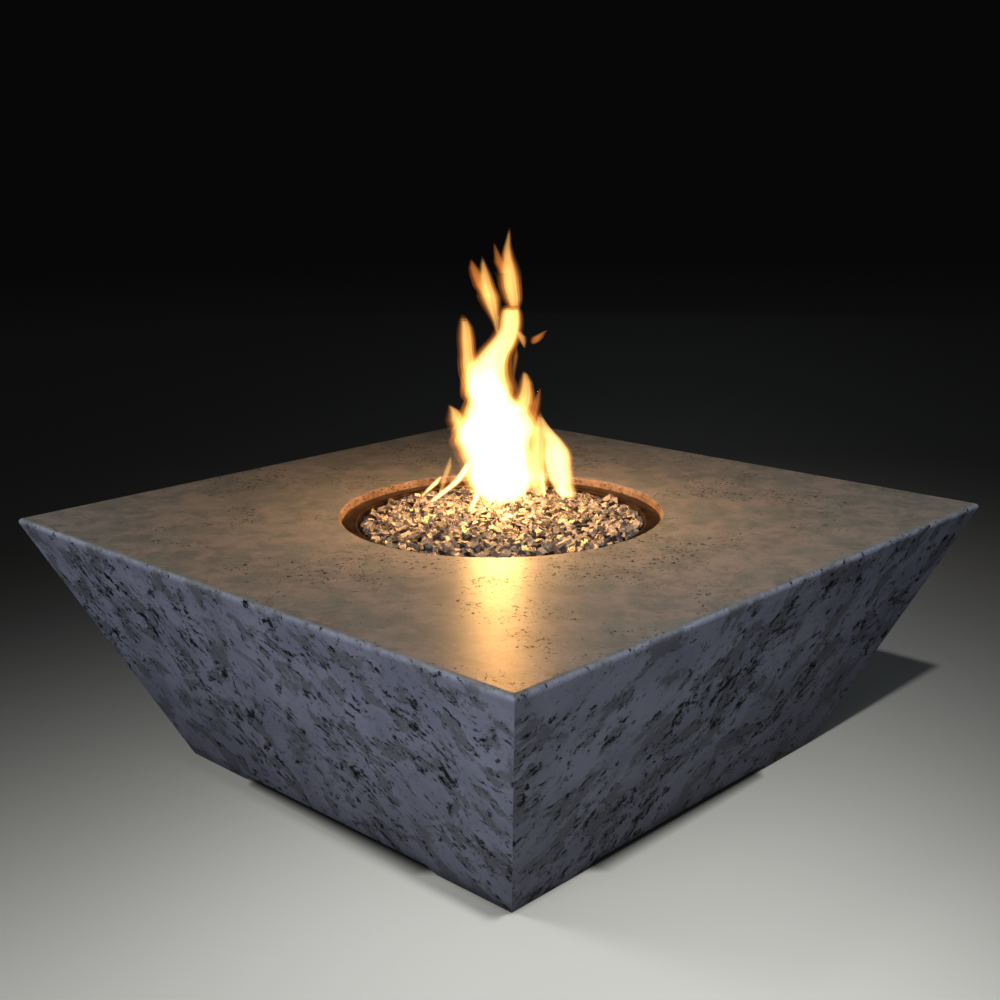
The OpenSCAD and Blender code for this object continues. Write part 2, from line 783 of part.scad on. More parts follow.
module valve_ball() {
    color("silver")
        difference() {
            at_key_hole() translate([0, 0, ball_w]) sphere(d = ball_d);
            along_flow() cylinder(d = valve_bore_d, h = 2 * ball_d, center = true);
            at_key_hole()
                translate([-ball_d, -tongue_t / 2 - run_gap, slot_w])
                    cube([2 * ball_d, tongue_t + 2 * run_gap, ball_d]);
        }
}

module valve_stem() {
    color("darkkhaki")
        at_key_hole() {
            translate([0, 0, chamber_top]) cylinder(d = stem_d, h = sleeve_end - chamber_top);
            translate([-square_w / 2, -square_w / 2, sleeve_end - cut])
                cube([square_w, square_w, square_len + cut]);
            translate([-tongue_w / 2, -tongue_t / 2, slot_w])
                cube([tongue_w, tongue_t, chamber_top - slot_w + cut]);
        }
}

module stem_packing() {
    color("whitesmoke")
        at_key_hole() translate([0, 0, packing_end]) tube(packing_d, stem_d + 2 * run_gap, packing_t);
}

module packing_nut() {
    color("darkkhaki")
        at_key_hole() translate([0, 0, gland_end]) tube(packing_d, stem_d + 2 * run_gap, gland_t);
}

module key_sleeve() {
    color("goldenrod")
        at_key_hole() translate([0, 0, sleeve_end]) tube(sleeve_d, sleeve_bore_d, plate_h - sleeve_end);
}

module sleeve_washer() {
    color("lightgray")
        at_key_hole()
            translate([0, 0, sleeve_washer_w]) tube(sleeve_washer_d, sleeve_d + 2 * thread_gap, washer_t);
}

module sleeve_locknut() {
    color("goldenrod")
        at_key_hole()
            translate([0, 0, sleeve_nut_at])
                difference() {
                    hexagon(sleeve_nut_w, locknut_t);
                    translate([0, 0, -cut]) cylinder(d = sleeve_d + 2 * thread_gap, h = locknut_t + 2 * cut);
                }
}

module escutcheon() {
    bore_r = sleeve_d / 2 + thread_gap;
    hub_r = plate_hub_d / 2;
    rim_x = plate_d / 2;
    color("gainsboro")
        at_key_hole()
            rotate_extrude()
                polygon([[bore_r, 0], [bore_r + plate_t, 0], [hub_r, plate_h - plate_t],
                    [rim_x - plate_t, 0], [rim_x, 0], [rim_x, plate_t / 2], [hub_r + plate_t, plate_h],
                    [bore_r, plate_h]]);
}

module valve_key() {
    key_end = sleeve_end + key_gap;
    socket_w = square_w + 2 * socket_gap;
    color("silver")
        at_key_hole()
            difference() {
                translate([0, 0, key_end]) cylinder(d = key_d, h = key_out - key_end);
                translate([-socket_w / 2, -socket_w / 2, key_end - cut])
                    cube([socket_w, socket_w, square_end - key_end + key_gap + cut]);
                translate([0, 0, key_out - bar_inset])
                    rotate([0, 90, 0])
                        cylinder(r = bar_d / 2 + thread_gap, h = 2 * key_d, center = true);
            }
}

module key_handle() {
    color("silver")
        at_key_hole()
            translate([0, 0, key_out - bar_inset])
                rotate([0, 90, 0]) cylinder(d = bar_d, h = bar_len, center = true);
}

concrete_shell();
burner_pan();
fire_glass();
burner_ring();
burner_arms();
burner_hub();
supply_nipple();
pan_washers();
pan_locknuts();
air_mixer();
gas_orifice();
mixer_elbow();
flex_hose();
hose_nuts();
outlet_fitting();
valve_body();
valve_end_cap();
valve_seats();
valve_ball();
valve_stem();
stem_packing();
packing_nut();
key_sleeve();
sleeve_washer();
sleeve_locknut();
escutcheon();
valve_key();
key_handle();
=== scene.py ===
import math

import bpy
import numpy as np
from mathutils import Matrix, Vector


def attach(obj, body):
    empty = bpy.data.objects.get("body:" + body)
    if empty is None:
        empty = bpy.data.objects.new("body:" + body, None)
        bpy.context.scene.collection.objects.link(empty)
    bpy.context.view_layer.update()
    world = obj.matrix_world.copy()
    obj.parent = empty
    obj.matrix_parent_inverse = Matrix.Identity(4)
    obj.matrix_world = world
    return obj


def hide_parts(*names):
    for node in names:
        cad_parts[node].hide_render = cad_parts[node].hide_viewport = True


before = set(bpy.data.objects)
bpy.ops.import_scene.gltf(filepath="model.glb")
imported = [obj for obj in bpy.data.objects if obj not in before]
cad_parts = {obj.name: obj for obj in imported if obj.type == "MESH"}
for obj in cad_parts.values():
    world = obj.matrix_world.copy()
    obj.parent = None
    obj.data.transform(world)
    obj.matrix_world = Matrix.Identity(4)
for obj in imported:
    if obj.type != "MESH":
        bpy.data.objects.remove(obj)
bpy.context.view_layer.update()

# The photograph's view: a full-frame camera with a 50 mm lens, about 1.1 m above the floor, that looks down on
# the corner between the front and the right side.
VIEW_TURN, VIEW_RISE, VIEW_ROLL = (math.radians(angle) for angle in (44.13, 14.56, -0.67))
VIEW_FROM = (1.6849, -1.7389, 1.1083)
VIEW_LENS, VIEW_FILM = 50.26, 36.0
view_back = np.array([math.sin(VIEW_TURN) * math.cos(VIEW_RISE), -math.cos(VIEW_TURN) * math.cos(VIEW_RISE),
                      math.sin(VIEW_RISE)])
view_right = np.array([math.cos(VIEW_TURN), math.sin(VIEW_TURN), 0.0])
view_up = np.cross(view_back, view_right)
rolled_right = view_right * math.cos(VIEW_ROLL) + view_up * math.sin(VIEW_ROLL)
rolled_up = view_up * math.cos(VIEW_ROLL) - view_right * math.sin(VIEW_ROLL)
view_matrix = np.eye(4)
view_matrix[:3, :3] = np.stack([rolled_right, rolled_up, view_back], axis=1)
view_matrix[:3, 3] = VIEW_FROM
view_camera = bpy.data.cameras.new("view")
view_camera.lens, view_camera.sensor_width = VIEW_LENS, VIEW_FILM
view = bpy.data.objects.new("view", view_camera)
bpy.context.scene.collection.objects.link(view)
view.matrix_world = Matrix(view_matrix.tolist())
bpy.context.scene.camera = view
bpy.context.scene.view_settings.view_transform = "Standard"

# The concrete body: walls, top and feet cast in one piece, upside down in a mould. Slurry worked round stiff
# lumps of the mix leaves slate-blue paste, olive lumps and black pits that lie slantwise along the pour.
# The top is ground and sealed, so it is warmer, finer and shinier than the sides.


class Socket:
    """One output in a finish's node tree: arithmetic on it adds Math nodes, node() adds any other node."""

    def __init__(self, tree, output=None):
        self.tree, self.output = tree, output

    def node(self, kind, settings=(), sockets=(), output=0):
        """Adds a node of a kind, makes its settings, then gives each socket its value or its link."""
        made = self.tree.nodes.new("ShaderNode" + kind)
        for name, value in dict(settings).items():
            setattr(made, name, value)
        for name, value in dict(sockets).items():
            if isinstance(value, Socket):
                self.tree.links.new(value.output, made.inputs[name])
            else:
                made.inputs[name].default_value = value
        return Socket(self.tree, made.outputs[output])

    def out(self, output):
        """Another output of the same node."""
        return Socket(self.tree, self.output.node.outputs[output])

    def math(self, operation, first, second=0.0):
        """One Math node: the operation done on two values."""
        return self.node("Math", {"operation": operation}, {0: first, 1: second})

    def __add__(self, other):
        return self.math("ADD", self, other)

    __radd__ = __add__

    def __mul__(self, other):
        return self.math("MULTIPLY", self, other)

    __rmul__ = __mul__

    def __sub__(self, other):
        return self.math("SUBTRACT", self, other)

    def __rsub__(self, other):
        return self.math("SUBTRACT", other, self)

    def __abs__(self):
        return self.math("ABSOLUTE", self)

    def __gt__(self, other):
        return self.math("GREATER_THAN", self, other)

    def step(self, low, high):
        """0 below low, 1 above high, and a smooth rise between them."""
        return self.node("MapRange", {"interpolation_type": "SMOOTHSTEP"},
                         {"Value": self, "From Min": low, "From Max": high})

    def blend(self, low, high):
        """The colour low where this is 0, and the colour high where it is 1."""
        return self.node("Mix", {"data_type": "RGBA"}, {0: self, 6: low, 7: high}, 2)

    def stretched(self, scale, turn=(0.0, 0.0, 0.0)):
        """A place turned by angles and then scaled along each axis."""
        turned = self.node("Mapping", {}, {"Vector": self, "Rotation": turn})
        return self.node("Mapping", {}, {"Vector": turned, "Scale": scale})

    def cloud(self, detail=2.0, roughness=0.5, distortion=0.0):
        """Soft noise between about 0.3 and 0.7 at this place."""
        return self.node("TexNoise", {}, {"Vector": self, "Scale": 1.0, "Detail": detail,
                                          "Roughness": roughness, "Distortion": distortion})


def paint(red, green, blue):
    """A colour of a paint chart, 0 to 255 for each part, as linear light."""
    chart = np.array([red, green, blue]) / 255.0
    linear = np.where(chart <= 0.04045, chart / 12.92, ((chart + 0.055) / 1.055) ** 2.4)
    return (*linear.tolist(), 1.0)


def new_finish(name, constants=()):
    """A new finish with constants on its shader's own sockets. Gives the finish and a start for its nodes."""
    finish = bpy.data.materials.new(name)
    finish.use_nodes = True
    shader = finish.node_tree.nodes["Principled BSDF"]
    for socket, value in dict(constants).items():
        shader.inputs[socket].default_value = value
    return finish, Socket(finish.node_tree)


def feed(finish, colour=None, roughness=None, height=None, depth=0.001, coat=None):
    """Links what changes over the surface to the finish's shader; height goes in by a bump of a depth."""
    tree = finish.node_tree
    shader = tree.nodes["Principled BSDF"]
    normal = None
    if height is not None:
        normal = height.node("Bump", {}, {"Strength": 1.0, "Distance": depth, "Height": height})
    for name, value in {"Base Color": colour, "Roughness": roughness, "Coat Weight": coat,
                        "Normal": normal}.items():
        if value is not None:
            tree.links.new(value.output, shader.inputs[name])


def dress(finish, *nodes):
    """Gives CAD nodes a finish."""
    for node in nodes:
        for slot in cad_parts[node].material_slots:
            slot.material = finish


POUR_SLANT, WALL_LEAN = math.radians(46), math.radians(23.948)
POUR_ALONG, POUR_ACROSS = math.cos(POUR_SLANT), math.sin(POUR_SLANT)
SLOPE = 1 / math.cos(WALL_LEAN)
# Each wall reads a patch of its own from the pattern, these far apart, and the swirl strays by up to its size.
RIGHT_PATCH, FAR_PATCH, SWIRL = 3.1, 1.7, (0.06, 0.06, 0.0)
OPENING_R, EDGE_BAND = 0.286, (0.45, 0.55)
SLATE, SLATE_LIGHT, OLIVE = paint(103, 106, 127), paint(120, 123, 145), paint(70, 73, 77)
SMUDGE, PIT, PAINTED_SHADE_DARK = paint(44, 46, 54), paint(7, 7, 8), paint(14, 14, 18)
TOP_GREEN, TOP_TAN = paint(103, 108, 105), paint(124, 120, 117)
TOP_SHADE, TOP_PIT = paint(84, 81, 79), paint(30, 26, 23)
HEARTH, HEARTH_DARK, EDGE_WEAR_AND_HIGHLIGHT = paint(124, 104, 90), paint(98, 80, 66), paint(158, 164, 168)
CONCRETE_BUMP = 0.0025

concrete, start = new_finish("cast_concrete", {"Specular IOR Level": 0.15, "Coat Roughness": 0.31,
                                               "Coat IOR": 1.5})
place = start.node("TexCoord", output="Object")
x = start.node("SeparateXYZ", {}, {0: place})
y, z = x.out(1), x.out(2)
facing_x = start.node("SeparateXYZ", {}, {0: start.node("NewGeometry", output="Normal")})
facing_y, facing_z = facing_x.out(1), facing_x.out(2)
on_sides_x = abs(facing_x) > abs(facing_y)
run = x - (x + y) * on_sides_x
pour = start.node("CombineXYZ", {}, {
    0: run * POUR_ALONG - z * (SLOPE * POUR_ACROSS), 1: run * POUR_ACROSS + z * (SLOPE * POUR_ALONG),
    2: on_sides_x * RIGHT_PATCH + ((facing_x + facing_y) > 0.0) * FAR_PATCH})
swirl = pour.node("TexNoise", {}, {"Vector": pour, "Scale": 8.0, "Detail": 1.0}, "Color")
pour = pour.node("VectorMath", {"operation": "MULTIPLY_ADD"}, {0: swirl, 1: SWIRL, 2: pour})
on_top = facing_z.step(0.55, 0.9)
near_edge = z.step(0.395, 0.45)

# The sides: two tones of paste, lumps with pits along their rims, smudges round the pits, and painted shade
# that darkens them towards the feet.
paste_cloud = pour.stretched((7.0, 9.0, 1.0)).cloud(4.0, 0.62, 0.3)
crowd = pour.stretched((4.5, 5.5, 1.0)).cloud(2.0, 0.5, 0.3).step(0.40, 0.60)
lumps = pour.stretched((15.0, 18.0, 1.0)).cloud(4.0, 0.66)
lump = lumps.step(0.49, 0.58)
lump_rim = (1 - abs(lumps - 0.54) * 11.0).step(0.0, 1.0)
cluster = pour.stretched((24.0, 29.0, 1.0)).cloud(3.0, 0.6).step(0.48, 0.65)
grit = pour.stretched((62.0, 76.0, 1.0)).cloud(5.0, 0.80)
speck = pour.stretched((150.0, 200.0, 1.0)).cloud(3.0, 0.7)
pit_field = grit + cluster * 0.07 + lump_rim * 0.055 + crowd * 0.045 - near_edge * 0.03
side_pits = pit_field.step(0.648, 0.668)
side_specks = (speck + cluster * 0.06 + lump_rim * 0.03 + crowd * 0.05).step(0.69, 0.72)
side_colour = (lump * 0.68).blend(paste_cloud.step(0.36, 0.64).blend(SLATE, SLATE_LIGHT), OLIVE)
side_colour = (pit_field.step(0.58, 0.665) * 0.5).blend(side_colour, SMUDGE)
side_colour = (side_specks * 0.85).blend((side_pits * 0.98).blend(side_colour, PIT), PIT)
# Painted shade: the walls darken towards the bottom, most of all in a thin line along the foot.
painted_foot_shade = (1 - z.step(-0.12, 0.40)) * 0.62 + (1 - z.step(0.0, 0.035)) * 0.2
side_colour = painted_foot_shade.blend(side_colour, PAINTED_SHADE_DARK)

# The ground top: clouds of two tones with a finer drift and grain, and shallow pits in patches.
top_cloud = place.stretched((18.0, 18.0, 1.0)).cloud(6.0, 0.72, 0.6)
top_drift = place.stretched((30.0, 30.0, 1.0)).cloud(4.0, 0.62, 0.6)
top_crowd = place.stretched((8.0, 8.0, 1.0)).cloud(2.0, 0.5, 0.4).step(0.42, 0.62)
top_grit = place.stretched((145.0, 145.0, 1.0)).cloud(3.0, 0.62, 0.9)
top_pits = (top_grit + top_crowd * 0.10).step(0.69, 0.73)
top_colour = top_cloud.step(0.40, 0.60).blend(TOP_GREEN, TOP_TAN)
top_colour = (top_drift.step(0.46, 0.68) * 0.42).blend(top_colour, TOP_SHADE)
top_grain = place.stretched((260.0, 260.0, 1.0)).cloud(2.0, 0.6)
top_colour = (top_grain.step(0.42, 0.66) * 0.3).blend(top_colour, TOP_SHADE)
top_colour = (top_pits * 0.8).blend(top_colour, TOP_PIT)

# The scorched wall of the opening, and the eased edge round the top, painted pale between its chips: partly
# wear, partly a painted highlight along the round.
level = place.node("VectorMath", {"operation": "MULTIPLY"}, {0: place, 1: (1.0, 1.0, 0.0)})
from_fire = level.node("VectorMath", {"operation": "LENGTH"}, {0: level}, "Value")
hearth_pits = place.stretched((120.0, 120.0, 200.0)).cloud(3.0, 0.7).step(0.56, 0.60)
hearth_colour = (hearth_pits * 0.85).blend(top_drift.step(0.40, 0.62).blend(HEARTH, HEARTH_DARK), TOP_PIT)
chips = place.stretched((70.0, 70.0, 70.0)).cloud(3.0, 0.65, 0.8)
at_edge = from_fire.step(*EDGE_BAND)
# Painted highlight and wear: the round of the top's edge, and a band just under it on the walls, are paler.
eased = facing_z.step(0.15, 0.40) * (1 - facing_z.step(0.70, 0.92)) * at_edge * z.step(0.44, 0.45)
rubbed_band_and_highlight = z.step(0.434, 0.454) * (1 - on_top) * at_edge
pale_wear_and_highlight = (eased * 0.4 + rubbed_band_and_highlight * 0.15) * (chips.step(0.34, 0.60) * 0.42 + 0.12) * (1 - side_pits)
body_colour = pale_wear_and_highlight.blend(on_top.blend(side_colour, top_colour), EDGE_WEAR_AND_HIGHLIGHT)
body_colour = from_fire.step(OPENING_R + 0.0015, OPENING_R + 0.0045).blend(hearth_colour, body_colour)
side_height = 1 - side_pits * 0.9 - side_specks * 0.35 + lumps * 0.3
top_height = 1.1 - top_pits * 0.35 + top_drift * 0.03
concrete_height = side_height + (top_height - side_height) * on_top
side_rough = 0.60 + side_pits * 0.25 + paste_cloud * 0.08
top_rough = 0.45 + top_pits * 0.3 + top_drift * 0.10
sealer = on_top * (1 - top_pits * 0.9)
concrete_rough = side_rough + (top_rough - side_rough) * on_top
feed(concrete, body_colour, concrete_rough, concrete_height, CONCRETE_BUMP, sealer)
dress(concrete, "concrete_shell")

# The burner pan: spun from stainless sheet and dropped in the opening, with its flat flange on a ledge in the
# concrete. Heat has toned it to a dull bronze, and the spinning left fine rings.
PAN_DARK, PAN_BRONZE, PAN_GREY = paint(40, 31, 25), paint(80, 62, 48), paint(80, 68, 58)

pan_steel, start = new_finish("heat_toned_steel", {"Metallic": 0.75})
place = start.node("TexCoord", output="Object")
level = place.node("VectorMath", {"operation": "MULTIPLY"}, {0: place, 1: (1.0, 1.0, 0.0)})
radius = level.node("VectorMath", {"operation": "LENGTH"}, {0: level}, "Value")
bearing = level.node("VectorMath", {"operation": "NORMALIZE"}, {0: level})
bearing = start.node("SeparateXYZ", {}, {0: bearing})
spun = start.node("CombineXYZ", {}, {0: bearing * 3.0, 1: bearing.out(1) * 3.0, 2: radius * 900.0})
rings = spun.cloud(2.0, 0.6)
heat = place.stretched((22.0, 22.0, 22.0)).cloud(3.0, 0.6, 0.6)
pan_colour = heat.step(0.36, 0.62).blend(PAN_DARK, PAN_BRONZE)
pan_colour = (rings.step(0.45, 0.75) * 0.5).blend(pan_colour, PAN_GREY)
feed(pan_steel, pan_colour, 0.22 + rings * 0.16 + heat * 0.1, rings, 0.00012)
dress(pan_steel, "burner_pan")

# The burner: a ring of drilled stainless tube with two feed arms and a turned hub, welded together and laid
# in the glass. Every flame starts at one of its ports.
STEEL_BRIGHT, STEEL_DULL, STEEL_STRAW = paint(176, 172, 165), paint(122, 119, 115), paint(150, 118, 78)


def worked_metal(name, bright, dull, roughness, scale=60.0, tone=None):
    """A metal with a fine worked grain, dull clouds and, where given, a third tone in patches."""
    finish, first = new_finish(name, {"Metallic": 1.0})
    spot = first.node("TexCoord", output="Object")
    grain = spot.stretched((scale * 9.0, scale * 9.0, scale * 2.0)).cloud(2.0, 0.6)
    clouds = spot.stretched((scale, scale, scale)).cloud(3.0, 0.6, 0.4)
    colour = clouds.step(0.38, 0.64).blend(dull, bright)
    if tone is not None:
        patch = spot.stretched((scale * 0.4, scale * 0.4, scale * 0.4)).cloud(2.0, 0.5, 0.5)
        colour = (patch.step(0.5, 0.66) * 0.6).blend(colour, tone)
    feed(finish, colour, grain * 0.18 + clouds * 0.12 + (roughness - 0.15), grain, 0.00008)
    return finish


dress(worked_metal("burner_steel", STEEL_BRIGHT, STEEL_DULL, 0.34, 40.0, STEEL_STRAW),
      "burner_ring", "burner_arms", "burner_hub")

# The supply pipe: a black iron nipple through the pan's floor, held by two iron locknuts on zinc-plated
# washers, one pair above the floor and one below.
dress(worked_metal("black_iron", paint(64, 63, 64), paint(33, 33, 34), 0.55, 70.0, paint(78, 58, 44)),
      "supply_nipple", "pan_locknuts")
zinc = worked_metal("zinc_plate", paint(186, 189, 192), paint(146, 149, 154), 0.38, 90.0)
dress(zinc, "pan_washers")

# The gas fittings: air mixer, jet and flare elbow under the pan, and the adapter on the valve, all turned
# from brass bar, with flare nuts on the hose.
brass = worked_metal("turned_brass", paint(214, 176, 100), paint(166, 124, 62), 0.3, 80.0, paint(132, 92, 48))
dress(brass, "air_mixer", "gas_orifice", "mixer_elbow", "hose_nuts", "outlet_fitting")

# The gas hose: a corrugated stainless connector with plain cuffs, bent by hand from the elbow to the valve.
# The ribs are rolled into one thin tube, and both cuffs end under their flare nuts.
HOSE_FROM, HOSE_TO = np.array([0.0, 0.032, 0.2955]), np.array([0.118, 0.433292, 0.247067])
HOSE_CUFF, HOSE_LEAD, HOSE_RIBS = 0.019, 0.18, 90
CREST_R, VALLEY_R, CUFF_R, HOSE_BORE_R = 0.008, 0.0062, 0.006, 0.0045
RIB_STEPS, HOSE_SIDES = 6, 20


def new_piece(name, points, faces, finish, smooth=True):
    """A mesh object with its place in its points, linked to the scene and given a finish."""
    mesh = bpy.data.meshes.new(name)
    mesh.from_pydata(np.asarray(points, float).tolist(), [], faces)
    mesh.polygons.foreach_set("use_smooth", np.full(len(mesh.polygons), smooth))
    mesh.materials.append(finish)
    mesh.update()
    made = bpy.data.objects.new(name, mesh)
    bpy.context.scene.collection.objects.link(made)
    return made


def unit(vectors):
    """Each vector divided by its own length."""
    return vectors / np.linalg.norm(vectors, axis=-1, keepdims=True)


def carried_ring(path, across, other, rows, wide, deep, sides, loop):
    """A ring carried along a path. Each row names a point of the path: its ring is an ellipse there, wide along
    the one axis given for that point and deep along the other. A loop joins the last row to the first;
    otherwise a point closes each end."""
    turn = np.linspace(0.0, 2 * math.pi, sides, endpoint=False)[None, :, None]
    points = (path[rows][:, None] + wide[:, None, None] * np.cos(turn) * across[rows][:, None]
              + deep[:, None, None] * np.sin(turn) * other[rows][:, None]).reshape(-1, 3)
    count = len(rows)
    row, place_on = np.meshgrid(np.arange(count if loop else count - 1), np.arange(sides), indexing="ij")
    after = (row + 1) % count
    beside = (place_on + 1) % sides
    faces = np.stack([row * sides + place_on, row * sides + beside, after * sides + beside,
                      after * sides + place_on], axis=-1).reshape(-1, 4).tolist()
    if not loop:
        first, last = len(points), len(points) + 1
        points = np.concatenate([points, path[rows[:1]], path[rows[-1:]]])
        at, beside = np.arange(sides), (np.arange(sides) + 1) % sides
        end = (count - 1) * sides
        faces += np.stack([np.full(sides, first), beside, at], axis=-1).tolist()
        faces += np.stack([np.full(sides, last), end + at, end + beside], axis=-1).tolist()
    return points, faces


def hose_line():
    """A straight cuff, a cubic curve that leaves along +Y and arrives along +X, and a straight cuff. The
    curve's points lie at equal steps of its length."""
    start_at, end_at = HOSE_FROM + [0, HOSE_CUFF, 0], HOSE_TO - [HOSE_CUFF, 0, 0]
    out_at, in_at = start_at + [0, HOSE_LEAD, 0], end_at - [HOSE_LEAD, 0, 0]
    share = np.linspace(0.0, 1.0, 2001)[:, None]
    curve = ((1 - share) ** 3 * start_at + 3 * (1 - share) ** 2 * share * out_at
             + 3 * (1 - share) * share ** 2 * in_at + share ** 3 * end_at)
    length = np.concatenate([[0], np.cumsum(np.linalg.norm(np.diff(curve, axis=0), axis=1))])
    even = np.linspace(0.0, length[-1], HOSE_RIBS * RIB_STEPS + 1)
    curve = np.stack([np.interp(even, length, curve[:, axis]) for axis in range(3)], axis=1)
    return np.concatenate([[HOSE_FROM], curve, [HOSE_TO]])


hose_path = hose_line()
rib_phase = np.arange(HOSE_RIBS * RIB_STEPS + 1) / RIB_STEPS
rib_r = VALLEY_R + (CREST_R - VALLEY_R) * np.sin(math.pi * rib_phase) ** 2
hose_r = np.concatenate([[CUFF_R], rib_r, [CUFF_R]])
out_rows = np.arange(len(hose_path))
bore_rows = out_rows[::-1][:: RIB_STEPS]
bore_rows = np.unique(np.concatenate([bore_rows, [0, len(hose_path) - 1]]))[::-1]
hose_radii = np.concatenate([hose_r, np.full(len(bore_rows), HOSE_BORE_R)])
hose_run = unit(np.gradient(hose_path, axis=0))
hose_across = unit(np.cross(hose_run, [0.0, 0.0, 1.0]))
hose_rows = np.concatenate([out_rows, bore_rows])
hose_points, hose_faces = carried_ring(hose_path, hose_across, np.cross(hose_run, hose_across), hose_rows,
                                       hose_radii, hose_radii, HOSE_SIDES, True)
hose_steel = worked_metal("corrugated_steel", paint(192, 191, 188), paint(150, 148, 145), 0.3, 50.0)
hose = new_piece("gas_hose", hose_points, hose_faces, hose_steel)
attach(hose, "table")
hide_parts("flex_hose")

# The ball valve: a brass body with a screwed end cap, a chromed ball between two white seat rings, and a
# stem with a square head, sealed by a packing ring under its gland.
seal_plastic, start = new_finish("seal_plastic", {"Specular IOR Level": 0.4})
seal_cloud = start.node("TexCoord", output="Object").stretched((160.0, 160.0, 160.0)).cloud(2.0, 0.5)
feed(seal_plastic, seal_cloud.step(0.35, 0.65).blend(paint(214, 214, 208), paint(234, 234, 230)),
     seal_cloud * 0.1 + 0.4, seal_cloud, 0.0001)
dress(brass, "valve_body", "valve_end_cap", "valve_stem", "packing_nut")
dress(seal_plastic, "valve_seats", "stem_packing")
dress(worked_metal("hard_chrome", paint(222, 224, 226), paint(196, 199, 203), 0.18, 60.0), "valve_ball")

# The wall sleeve: a brass tube screwed into the valve's neck and through the rear wall, drawn tight by a
# locknut on a washer inside. A polished plate covers the hole outside.
dress(brass, "key_sleeve", "sleeve_locknut")
dress(zinc, "sleeve_washer")
dress(worked_metal("polished_plate", paint(216, 218, 220), paint(176, 178, 182), 0.2, 45.0), "escutcheon")

# The key: a nickel-plated shank with a square socket, and a cross bar pressed through its end. It turns the
# valve and pulls out of its sleeve.
dress(worked_metal("nickel_plate", paint(206, 203, 194), paint(160, 157, 149), 0.28, 55.0),
      "valve_key", "key_handle")

# The fire glass: tempered glass broken into blunt blocks, some clear, some with a mirror coat on one side and
# some black, heaped in the pan over the burner.
GLASS_RIM, GLASS_LEVEL, GLASS_CROWN = 0.2555, 0.437, 0.009
BLOCK_HALF, BLOCK_LONG, BLOCK_BROAD, BLOCK_THICK = 0.0070, (0.5, 1.35), (0.5, 1.0), (0.5, 0.9)
CORNER_STRAY, LEAST_PINCH, MOST_TILT, SPIRAL_STRAY, RIM_ROOM = 0.28, 0.62, 0.7, 0.05, 0.009
CRACK_SHARE, CRACK_BUMP = 0.65, 0.0012
BLOCK = np.array([(i, j, k) for i in (-1, 1) for j in (-1, 1) for k in (-1, 1)], float)
BLOCK_FACES = np.array([(0, 1, 3), (0, 3, 2), (4, 6, 7), (4, 7, 5), (0, 4, 5), (0, 5, 1), (2, 3, 7), (2, 7, 6),
                        (0, 2, 6), (0, 6, 4), (1, 5, 7), (1, 7, 3)])
GOLDEN_ANGLE = math.pi * (3 - math.sqrt(5))


def mound(radius_at):
    """The heap's level: highest in the middle, and lower with the square of the distance from it."""
    return GLASS_LEVEL + GLASS_CROWN * (1 - (radius_at / GLASS_RIM) ** 2)


def broken_glass(count, seed, sink, rise):
    """Blocks with eight strayed corners and one pinched end, turned by chance, laid on a sunflower spiral
    over the heap between sink below it and rise above it. Gives points, triangles and a tone for each block."""
    chance = np.random.default_rng(seed)
    half = BLOCK_HALF * np.stack([chance.uniform(*BLOCK_LONG, count), chance.uniform(*BLOCK_BROAD, count),
                                  chance.uniform(*BLOCK_THICK, count)], axis=1)
    corners = BLOCK[None] + chance.uniform(-CORNER_STRAY, CORNER_STRAY, (count, 8, 3))
    pinch = np.where(BLOCK[None, :, :1] > 0, chance.uniform(LEAST_PINCH, 1.0, (count, 1, 1)), 1.0)
    corners = corners * np.concatenate([np.ones_like(pinch), pinch, pinch], axis=2) * half[:, None]
    yaw, tilt = chance.uniform(0, 2 * math.pi, count), chance.uniform(-MOST_TILT, MOST_TILT, (2, count))
    zero, one = np.zeros(count), np.ones(count)
    about_z = np.array([[np.cos(yaw), -np.sin(yaw), zero], [np.sin(yaw), np.cos(yaw), zero], [zero, zero, one]])
    about_x = np.array([[one, zero, zero], [zero, np.cos(tilt[0]), -np.sin(tilt[0])],
                        [zero, np.sin(tilt[0]), np.cos(tilt[0])]])
    about_y = np.array([[np.cos(tilt[1]), zero, np.sin(tilt[1])], [zero, one, zero],
                        [-np.sin(tilt[1]), zero, np.cos(tilt[1])]])
    corners = np.einsum("ijn,jkn,kln,ncl->nci", about_z, about_x, about_y, corners)
    number = np.arange(count)
    out_to = (GLASS_RIM - RIM_ROOM) * np.sqrt((number + 0.5) / count)
    bearing_at = number * GOLDEN_ANGLE + chance.uniform(-SPIRAL_STRAY, SPIRAL_STRAY, count) + seed
    centre = np.stack([out_to * np.cos(bearing_at), out_to * np.sin(bearing_at),
                       mound(out_to) + chance.uniform(-sink, rise, count)], axis=1)
    points = (corners + centre[:, None]).reshape(-1, 3)
    faces = (BLOCK_FACES[None] + 8 * number[:, None, None]).reshape(-1, 3).tolist()
    return points, faces, np.repeat(chance.uniform(0, 1, count), 8)


def glass_piece(name, count, seed, sink, rise, finish):
    """One kind of broken glass as a piece on the table, with each block's tone as an attribute."""
    points, faces, tone = broken_glass(count, seed, sink, rise)
    made = new_piece(name, points, faces, finish, False)
    made.data.attributes.new("tone", "FLOAT", "POINT").data.foreach_set("value", tone)
    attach(made, "table")
    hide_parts("fire_glass")


def glass_finish(name, constants, low, high, depth_of, roughness):
    """A glass whose colour goes from low to high with each block's tone and to depth_of in the fine cracks that
    tempering leaves all through it, which also break up its shine."""
    finish, first = new_finish(name, constants)
    tone = first.node("Attribute", {"attribute_name": "tone"}, output="Fac")
    cracks = first.node("TexCoord", output="Object").stretched((560.0, 560.0, 560.0)).cloud(2.0, 0.65, 0.6)
    colour = (CRACK_SHARE - cracks.step(0.34, 0.54) * CRACK_SHARE).blend(tone.blend(low, high), depth_of)
    feed(finish, colour, cracks * 0.12 + roughness, cracks, CRACK_BUMP)
    return finish


